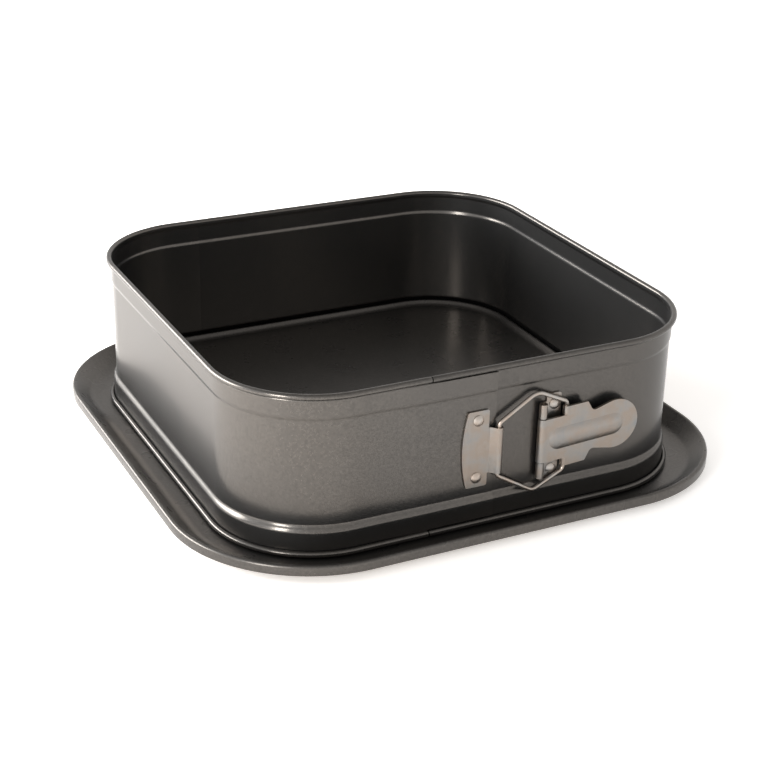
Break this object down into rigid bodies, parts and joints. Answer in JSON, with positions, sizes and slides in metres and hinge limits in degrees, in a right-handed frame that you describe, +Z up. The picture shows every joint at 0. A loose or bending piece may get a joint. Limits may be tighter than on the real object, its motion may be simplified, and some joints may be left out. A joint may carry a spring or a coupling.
{
  "type": "springform pan",
  "caption": "Square springform baking pan with rounded corners: a wide-rimmed base tray, and a curled-rim side band that an over-centre wire latch closes round the base.",
  "frame": {"origin": "centre of the square footprint, on the plane the tray stands on", "axes": "+Z up, -Y towards the latch side, +X to the right when the latch is faced"},
  "size_m": [0.2812, 0.2812, 0.0805],
  "materials": {
    "nonstick_tray": "dark satin nonstick coating with a fine metallic grain",
    "nonstick_band": "dark satin nonstick coating with a fine metallic grain",
    "tinned_steel": "bright tinned sheet steel, lightly marked",
    "wire_steel": "bright drawn wire",
    "rivet_steel": "bright formed heads"
  },
  "bodies": {
    "base": {"base_tray": "nonstick_tray"},
    "band_right": {"ring_right": "nonstick_band", "hinge_bracket": "tinned_steel", "bracket_rivet_upper": "rivet_steel", "bracket_rivet_lower": "rivet_steel", "hinge_pin": "wire_steel"},
    "band_left": {"ring_left": "nonstick_band", "keeper_plate": "tinned_steel", "keeper_rivet_upper": "rivet_steel", "keeper_rivet_lower": "rivet_steel"},
    "bail": {"wire_bail": "wire_steel"},
    "lever": {"latch_lever": "tinned_steel"}
  },
  "joints": [
    {"name": "ring_lift", "type": "slide", "parent": "base", "child": "band_right", "axis": [0, 0, 1], "range_m": [0, 0.1]},
    {"name": "lever_swing", "type": "hinge", "parent": "band_right", "child": "lever", "pos_m": [0.024, -0.1203, 0.0385], "axis": [0, 0, -1], "range_deg": [0, 150]},
    {"name": "ring_spread", "type": "hinge", "parent": "band_right", "child": "band_left", "pos_m": [-0.06934, 0.1214, 0.0407], "axis": [0, 0, -1], "range_deg": [0, 1.84]},
    {"name": "bail_swing", "type": "hinge", "parent": "band_left", "child": "bail", "pos_m": [0.00085, -0.1205, 0.0385], "axis": [0, 0, -1], "range_deg": [0, 21]}
  ],
  "couplings": [
    {"joint": "ring_spread", "follows": "lever_swing", "ratio": 0.01226},
    {"joint": "bail_swing", "follows": "lever_swing", "ratio": 0.1399}
  ]
}
